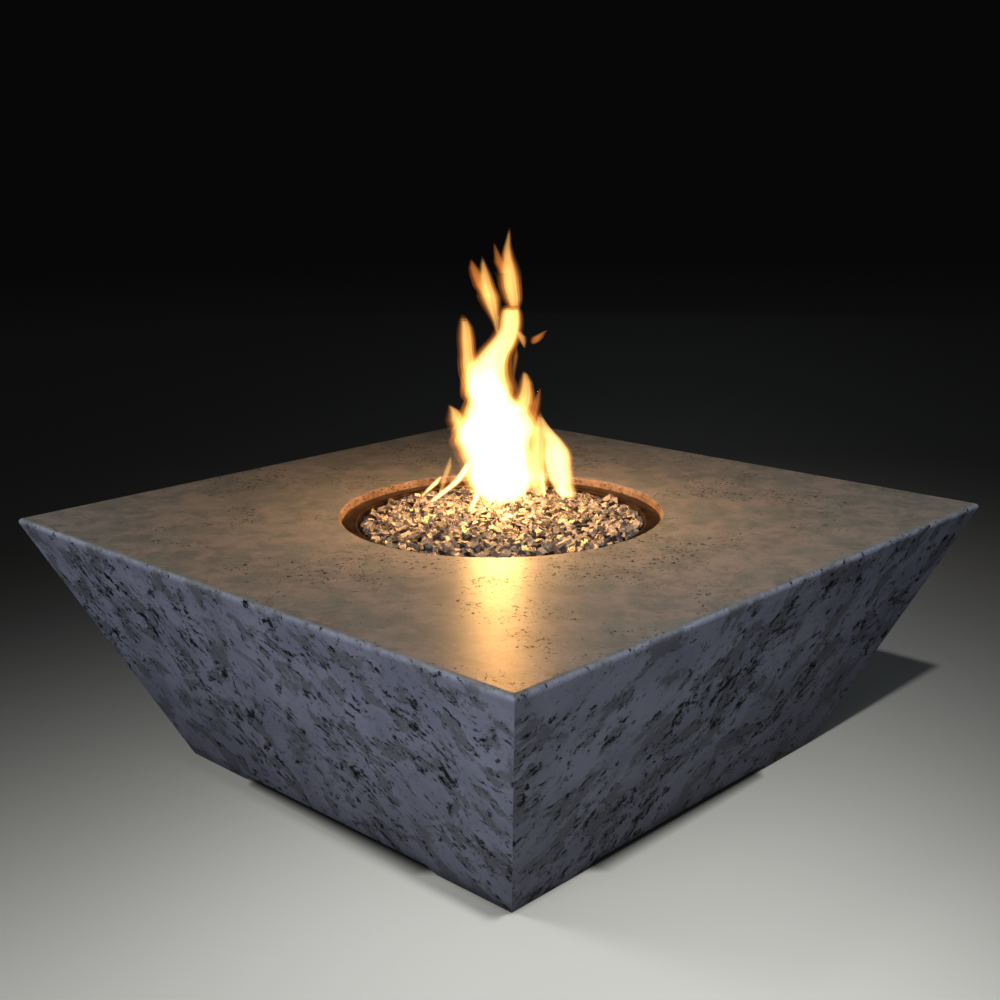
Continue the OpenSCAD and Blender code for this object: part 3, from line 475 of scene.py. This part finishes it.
clear_glass = glass_finish("clear_glass", {"Transmission Weight": 0.55, "IOR": 1.5}, paint(80, 84, 102),
                           paint(244, 229, 208), paint(30, 25, 22), 0.0)
mirror_glass = glass_finish("mirror_coated_glass", {"Metallic": 0.85, "IOR": 1.5}, paint(110, 114, 134),
                            paint(253, 240, 222), paint(36, 30, 27), 0.05)
black_glass = glass_finish("black_glass", {"IOR": 1.52, "Specular IOR Level": 0.6}, paint(12, 10, 9),
                           paint(48, 40, 38), paint(8, 7, 6), 0.02)
glass_piece("glass_clear", 1750, 3, 0.006, 0.004, clear_glass)
glass_piece("glass_mirrored", 560, 5, 0.006, 0.0035, mirror_glass)
glass_piece("glass_black", 400, 8, 0.004, 0.0035, black_glass)

PAD_SINK, PAD_STRAY, PAD_UNDER, PAD_SEED, PAD_SPOKES, PAD_STEPS = 0.0065, 0.002, 0.4265, 11, 96, 24


def heap_pad(seed, spokes, steps):
    """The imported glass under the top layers: a polar grid at the heap's level with each point strayed a
    little, and a flat underside."""
    chance = np.random.default_rng(seed)
    out_to = GLASS_RIM * np.linspace(0.0, 1.0, steps + 1)[1:]
    bearing_at = np.linspace(0, 2 * math.pi, spokes, endpoint=False)
    radius_at, bearing_on = np.meshgrid(out_to, bearing_at, indexing="ij")
    stray = chance.uniform(-PAD_STRAY, PAD_STRAY, radius_at.shape)
    top = np.stack([radius_at * np.cos(bearing_on), radius_at * np.sin(bearing_on),
                    mound(radius_at) - PAD_SINK + stray], axis=-1)
    under = top[::-1].copy()
    under[..., 2] = PAD_UNDER
    points = np.concatenate([top, under]).reshape(-1, 3)
    middle = [[0, 0, mound(0.0) - PAD_SINK], [0, 0, PAD_UNDER]]
    row, on = np.meshgrid(np.arange(2 * steps - 1), np.arange(spokes), indexing="ij")
    beside = (on + 1) % spokes
    faces = np.stack([row * spokes + on, (row + 1) * spokes + on, (row + 1) * spokes + beside,
                      row * spokes + beside], axis=-1).reshape(-1, 4).tolist()
    at, beside = np.arange(spokes), (np.arange(spokes) + 1) % spokes
    last = (2 * steps - 1) * spokes
    faces += np.stack([np.full(spokes, len(points)), at, beside], axis=-1).tolist()
    faces += np.stack([np.full(spokes, len(points) + 1), last + beside, last + at], axis=-1).tolist()
    return np.concatenate([points, middle]), faces


# The packed glass under the blocks is painted dark: glass crumbs, darkened as painted shade in the gaps between
# the blocks.
packed_glass_shaded, start = new_finish("packed_glass_shaded", {"IOR": 1.5})
crumbs = start.node("TexCoord", output="Object").stretched((130.0, 130.0, 130.0)).cloud(2.0, 0.7, 0.4)
crumbs_in_painted_shade = crumbs.step(0.4, 0.62).blend(paint(20, 16, 13), paint(76, 64, 53))
feed(packed_glass_shaded, crumbs_in_painted_shade, crumbs * 0.2, crumbs, 0.003)
pad_points, pad_faces = heap_pad(PAD_SEED, PAD_SPOKES, PAD_STEPS)
pad = new_piece("glass_packed", pad_points, pad_faces, packed_glass_shaded, False)
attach(pad, "table")
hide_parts("fire_glass")

# The flame: burning gas over the ring, a white core with yellow and orange tongues that break up as they
# rise. It is no piece of the table, so it is not attached to it, and warm lamps give the light that it throws.
FLAME_RIGHT, FLAME_BACK = view_right, np.array([-math.sin(VIEW_TURN), math.cos(VIEW_TURN), 0.0])
FLAME_UP = np.array([0.0, 0.0, 1.0])
# Each body of gas: its heat and its tongues. Each tongue: how far it stands behind the axis, and along its
# length the place across the view, the height and the half width, all in millimetres. They were read off the
# photograph and then fitted to this view. The tongues of one body don't touch each other.
FLAME = [
    ("core", [(70, [(2, 447, 2), (1, 457, 18), (0, 471, 40), (0, 486, 58), (0, 507, 64), (-4, 537, 61),
                    (-10, 558, 61), (-14, 579, 66), (-7, 597, 70), (-5, 616, 64), (-7, 632, 54),
                    (-13, 646, 44), (-19, 663, 35), (-21, 682, 24), (-20, 698, 12), (-19, 712, 2)]),
              (114, [(130, 447, 9), (123, 460, 18), (115, 479, 21), (109, 502, 24), (106, 526, 24),
                    (104, 545, 22), (99, 562, 17), (90, 579, 11), (83, 594, 6), (76, 612, 1)])]),
    ("core", [(86, [(-26, 447, 4), (-22, 465, 17), (-20, 492, 23), (-23, 530, 23), (-26, 564, 15),
                    (-30, 591, 4)]),
              (90, [(26, 447, 4), (26, 463, 17), (31, 494, 21), (29, 536, 21), (32, 574, 15), (40, 607, 4)])]),
    ("body", [(74, [(-23, 633, 18), (-37, 662, 23), (-48, 690, 21), (-55, 718, 17), (-57, 743, 15),
                    (-58, 762, 14), (-59, 780, 12), (-62, 794, 7), (-65, 803, 2)]),
              (130, [(72, 447, 2), (72, 464, 14), (71, 491, 21), (70, 522, 21), (71, 551, 20), (73, 576, 15),
                    (74, 595, 9), (75, 616, 1)])]),
    ("body", [(66, [(33, 623, 23), (42, 643, 20), (47, 663, 15), (48, 681, 12), (46, 696, 6), (44, 703, 1)]),
              (64, [(-49, 573, 19), (-66, 596, 21), (-75, 614, 19), (-82, 631, 10), (-92, 643, 1)]),
              (76, [(29, 808, 8), (26, 829, 15), (22, 850, 18), (20, 870, 17), (19, 887, 15), (17, 905, 11),
                    (17, 921, 7), (19, 937, 4), (21, 955, 1)])]),
    ("body", [(70, [(-2, 761, 1), (-5, 790, 7), (-11, 815, 14), (-16, 835, 17), (-21, 855, 14),
                    (-24, 875, 10), (-26, 890, 6), (-28, 906, 1)]),
              (66, [(46, 743, 1), (43, 754, 6), (40, 763, 8), (34, 774, 5)]),
              (130, [(-115, 447, 1), (-115, 452, 2), (-111, 467, 5), (-105, 489, 7), (-97, 510, 7),
                    (-92, 533, 1)])]),
    ("edge", [(78, [(-16, 828, 9), (-30, 853, 14), (-38, 872, 12), (-44, 886, 8), (-48, 901, 1)]),
              (80, [(12, 873, 9), (3, 894, 10), (-2, 910, 6), (-7, 928, 1)]),
              (68, [(58, 593, 7), (62, 619, 10), (66, 640, 8), (70, 655, 5), (74, 671, 1)]),
              (72, [(26, 680, 1), (27, 706, 4), (30, 728, 5), (32, 746, 1)]),
              (70, [(61, 748, 2), (65, 754, 9), (69, 761, 11), (77, 768, 6), (87, 775, 1)])]),
    ("lick", [(108, [(-135, 447, 2), (-122, 455, 7), (-107, 467, 8), (-89, 480, 9), (-76, 493, 9),
                    (-64, 511, 8), (-56, 531, 3)]),
              (56, [(0, 447, 1), (-2, 459, 5), (-3, 476, 6), (-5, 495, 4)]),
              (68, [(24, 447, 1), (22, 460, 5), (20, 477, 6), (17, 494, 4)]),
              (130, [(82, 447, 2), (80, 470, 5), (77, 488, 5), (76, 505, 2)])]),
    ("lick", [(130, [(-148, 447, 1), (-148, 454, 2), (-136, 466, 6), (-124, 477, 7), (-111, 493, 2)]),
              (16, [(-59, 447, 2), (-53, 461, 6), (-45, 478, 6), (-39, 498, 6), (-35, 519, 2)]),
              (72, [(-21, 447, 1), (-20, 461, 5), (-21, 478, 6), (-21, 495, 4)]),
              (112, [(45, 447, 2), (44, 459, 5), (40, 477, 6), (38, 494, 4)]),
              (122, [(118, 447, 2), (116, 460, 5), (113, 475, 5), (110, 491, 2)])]),
    ("neck", [(72, [(-15, 627, 22), (-21, 656, 42), (-24, 689, 42), (-19, 714, 36), (-7, 734, 30), (5, 750, 25),
                    (15, 766, 22), (20, 781, 20), (21, 796, 20), (22, 809, 19), (22, 820, 10)])]),
]
# Each heat's layers of gas, from the outside in: the share of the tongue's width, the colour and the strength.
GAS = {
    "core": [(1.16, (1.0, 0.32, 0.05, 1.0), 9.0), (1.02, (1.0, 0.50, 0.12, 1.0), 30.0),
             (0.90, (1.0, 0.64, 0.24, 1.0), 55.0)],
    "body": [(1.16, (1.0, 0.30, 0.045, 1.0), 9.0), (0.88, (1.0, 0.44, 0.09, 1.0), 24.0),
             (0.62, (1.0, 0.58, 0.18, 1.0), 44.0)],
    "neck": [(1.16, (1.0, 0.30, 0.045, 1.0), 9.0), (0.96, (1.0, 0.46, 0.10, 1.0), 26.0),
             (0.80, (1.0, 0.62, 0.22, 1.0), 56.0)],
    "edge": [(1.00, (1.0, 0.25, 0.04, 1.0), 16.0), (0.65, (1.0, 0.38, 0.07, 1.0), 22.0)],
    "lick": [(1.10, (1.0, 0.45, 0.12, 1.0), 60.0), (0.75, (1.0, 0.66, 0.30, 1.0), 220.0)],
}
TONGUE_STEPS, TONGUE_SIDES, GAS_SKIN, TRIM_SHARE = 48, 28, 1.16, 0.12
SWAY, SWAY_RUN, DRIFT_RUN, FLATNESS, MILLIMETRE = 6, 40, 60, 0.8, 0.001


def burning_gas(name, colour, strength):
    """Gas that glows evenly all through, so a tongue is brightest where it is thickest."""
    finish = bpy.data.materials.new(name)
    finish.use_nodes = True
    finish.node_tree.nodes.clear()
    first = Socket(finish.node_tree)
    glow = first.node("Emission", {}, {"Color": colour, "Strength": strength})
    output = finish.node_tree.nodes.new("ShaderNodeOutputMaterial")
    finish.node_tree.links.new(glow.output, output.inputs["Volume"])
    return finish


def tongue(behind, knots, number, share):
    """A level, flattened ring carried up a line of knots: places and half widths between them lie at equal
    steps of the line's length, evened out over three steps. The ring is fluted along the line and swells and
    shrinks a little on the way, and the line sways towards and from the view. A layer inside has a share of
    the width and stops short of both ends."""
    knots = np.array(knots, float)
    length = np.concatenate([[0], np.cumsum(np.hypot(*np.diff(knots[:, :2], axis=0).T))])
    trim = (GAS_SKIN - share) * TRIM_SHARE * length[-1]
    even = np.linspace(trim, length[-1] - trim, TONGUE_STEPS)
    columns = [np.pad(np.interp(even, length, column), 1, mode="edge") for column in knots.T]
    across, height, half_width = (np.convolve(column, np.full(3, 1 / 3), mode="valid") for column in columns)
    swell = 1 + 0.04 * np.sin(even / 17 + 2.3 * number) + 0.02 * np.sin(even / 7 + number)
    half_width = half_width * share * swell * MILLIMETRE
    back = behind + SWAY * np.sin(even / SWAY_RUN + number)
    line = np.stack([across, back, height], axis=1) @ np.stack([FLAME_RIGHT, FLAME_BACK, FLAME_UP]) * MILLIMETRE
    level = np.ones((TONGUE_STEPS, 1))
    points, faces = carried_ring(line, level * FLAME_RIGHT, level * FLAME_BACK, np.arange(TONGUE_STEPS),
                                 half_width, half_width * FLATNESS, TONGUE_SIDES, False)
    around = np.linspace(0.0, 2 * math.pi, TONGUE_SIDES, endpoint=False)[None]
    drift = even[:, None] / DRIFT_RUN + number
    flute = 1 + 0.13 * np.sin(5 * around + 2 * np.sin(drift)) + 0.09 * np.sin(9 * around - 3 * drift)
    middle = np.repeat(line, TONGUE_SIDES, axis=0)
    points[:-2] = middle + (points[:-2] - middle) * flute.reshape(-1, 1)
    return points, faces


for heat_of, layers in GAS.items():
    for layer, (share, colour, strength) in enumerate(layers):
        gas = burning_gas(f"burning_gas_{heat_of}_{layer}", colour, strength)
        for number, (heat_here, tongues) in enumerate(FLAME):
            if heat_here != heat_of:
                continue
            gas_points, gas_faces, count = [], [], 0
            for part, (behind, knots) in enumerate(tongues):
                points, faces = tongue(behind, knots, number + part, share)
                gas_faces += [[corner + count for corner in face] for face in faces]
                gas_points.append(points)
                count += len(points)
            lick = new_piece(f"flame_{number:02d}_{layer}", np.concatenate(gas_points), gas_faces, gas)
            lick.visible_diffuse = lick.visible_shadow = False

# The floor and the light: a seamless pale studio floor with a painted pool of light in front of the table, that
# is painted darker towards a dark backdrop, and a painted shadow where the table meets it. Two spots from the
# front cast the shadows, two broad lamps and an even fill lift the walls, and warm lamps over the burner give
# the light that the flame throws.
FLOOR_PALE, DUSK, BACKDROP = paint(219, 220, 215), paint(13, 13, 13), paint(7, 7, 7)
POOL_TURN, POOL_LINE, POOL_ASIDE, POOL_BOW, POOL_SPREAD = 0.931, 0.920, 0.223, 1.568, 1.292
# The painted shadow where the table meets the floor is measured from a square about 4 mm inside the base's
# edges.
FLOOR_REACH, SHADE_HALF, FOOT_FROM, FOOT_TO, FOOT_SHADE = 12.0, 0.4057, 0.19, 0.15, 0.025
CONTACT_BAND, LIT_REACH, DUSK_REACH = (-0.006, 0.050), (1.9, 7.0), (4.0, 12.0)
FILL, FILL_STRENGTH, FLAME_LIGHT, WHITE = (0.78, 0.89, 1.0, 1.0), 0.10, (1.0, 0.52, 0.20), (1.0, 0.98, 0.96)

floor_finish, start = new_finish("studio_floor", {"Base Color": FLOOR_PALE, "Roughness": 0.6,
                                                  "Specular IOR Level": 0.2})
floor_place = start.node("TexCoord", output="Object")
from_table = start.node("VectorMath", {"operation": "LENGTH"}, {0: floor_place}, "Value")
ahead = floor_place.node("Mapping", {}, {"Vector": floor_place, "Rotation": (0.0, 0.0, POOL_TURN)})
ahead = start.node("SeparateXYZ", {}, {0: ahead})
aside = ahead.out(1) - POOL_ASIDE
behind = start.math("MAXIMUM", POOL_LINE - ahead + aside * aside * POOL_BOW, 0.0)
across = start.node("SeparateXYZ", {}, {0: floor_place})
across, along = abs(across), abs(across.out(1))
foot_here = start.math("MINIMUM", across, along).step(SHADE_HALF - FOOT_FROM, SHADE_HALF - FOOT_TO)
past_square = start.math("MAXIMUM", across, along) - SHADE_HALF
# A painted shadow where the table's base meets the floor, darkest under the base and narrower at the feet.
painted_contact_shadow = 1 - (past_square + foot_here * FOOT_SHADE).step(*CONTACT_BAND)
# A painted pool of light, brightest on a bowed line in front of the table and fading behind it.
painted_pool = start.math("DIVIDE", 1.0, 1 + behind * behind * POOL_SPREAD ** -2)
# Where the painted pool fades, in the painted shadow and far off, the floor shows a dark glow instead of its
# pale colour.
dark = start.math("MAXIMUM", start.math("MAXIMUM", 1 - painted_pool, painted_contact_shadow), from_table.step(*LIT_REACH))
floor_tree = floor_finish.node_tree
floor_near = Socket(floor_tree, floor_tree.nodes["Principled BSDF"].outputs[0])
far_colour = from_table.step(*DUSK_REACH).blend(DUSK, BACKDROP)
floor_far = start.node("Emission", {}, {"Color": far_colour, "Strength": 1.0})
floor_look = start.node("MixShader", {}, {0: dark, 1: floor_near, 2: floor_far})
floor_tree.links.new(floor_look.output, floor_tree.nodes["Material Output"].inputs["Surface"])
corner = FLOOR_REACH * np.array([(-1, -1, 0), (1, -1, 0), (1, 1, 0), (-1, 1, 0)])
floor = new_piece("floor", corner, [(0, 1, 2, 3)], floor_finish, False)


def lamp(name, kind, at, power, colour, size, towards=(0.0, 0.0, 0.0), cone=0.0):
    """A lamp of a kind at a place, turned to look at a point; a spot fades from its middle to its cone."""
    data = bpy.data.lights.new(name, kind)
    data.energy, data.color = power, colour
    if kind == "AREA":
        data.shape, data.size = "DISK", size
    else:
        data.shadow_soft_size = size
    if kind == "SPOT":
        data.spot_size, data.spot_blend = math.radians(cone), 1.0
    made = bpy.data.objects.new(name, data)
    bpy.context.scene.collection.objects.link(made)
    made.location = at
    made.rotation_euler = (Vector(towards) - made.location).to_track_quat("-Z", "Y").to_euler()
    made.visible_camera = False
    return made


for studio_lamp in (
        lamp("right_lamp", "SPOT", (2.25, -1.90, 4.0), 660.0, WHITE, 0.10, (1.0, 0.42, 0.0), 42.0),
        lamp("left_lamp", "SPOT", (-0.90, -2.40, 2.6), 370.0, WHITE, 0.60, (-0.58, -1.22, 0.0), 53.0),
        lamp("back_lamp", "AREA", (-1.7, 1.7, 0.42), 3.5, WHITE, 1.2, (0.0, 0.0, 0.25)),
        lamp("front_lamp", "AREA", (0.85, -2.65, 0.95), 22.0, WHITE, 1.5, (0.0, 0.0, 0.2))):
    studio_lamp.visible_glossy = studio_lamp.visible_transmission = False
# The glow lights what is matt, and the glint, a little further back, shows only in what is glossy.
GLOW_AT, GLINT_AT = FLAME_BACK[:2] * -0.02, FLAME_BACK[:2] * 0.07
for name, height, power in (("flame_lamp_low", 0.54, 2.4), ("flame_lamp_mid", 0.66, 9.0),
                            ("flame_lamp_high", 0.80, 11.0)):
    glow_lamp = lamp(name, "POINT", (*GLOW_AT, height), power, FLAME_LIGHT, 0.045)
    glow_lamp.visible_glossy = glow_lamp.visible_transmission = False
for name, height, power, colour in (("flame_glint_low", 0.62, 0.5, (1.0, 0.55, 0.10)),
                                    ("flame_glint_high", 0.84, 1.5, (1.0, 0.36, 0.03))):
    glint_lamp = lamp(name, "POINT", (*GLINT_AT, height), power, colour, 0.04)
    glint_lamp.visible_diffuse = glint_lamp.visible_transmission = False
world = bpy.data.worlds.new("studio")
bpy.context.scene.world = world
world.use_nodes = True
world.node_tree.nodes.clear()
start = Socket(world.node_tree)
ray = start.node("LightPath", output="Is Camera Ray")
seen = ray.math("MAXIMUM", ray, ray.math("MAXIMUM", ray.out("Is Glossy Ray"), ray.out("Is Transmission Ray")))
shown = start.node("Background", {}, {"Color": BACKDROP, "Strength": 1.0})
fill_light = start.node("Background", {}, {"Color": FILL, "Strength": FILL_STRENGTH})
sky = start.node("MixShader", {}, {0: seen, 1: fill_light, 2: shown})
world.node_tree.links.new(sky.output, world.node_tree.nodes.new("ShaderNodeOutputWorld").inputs["Surface"])
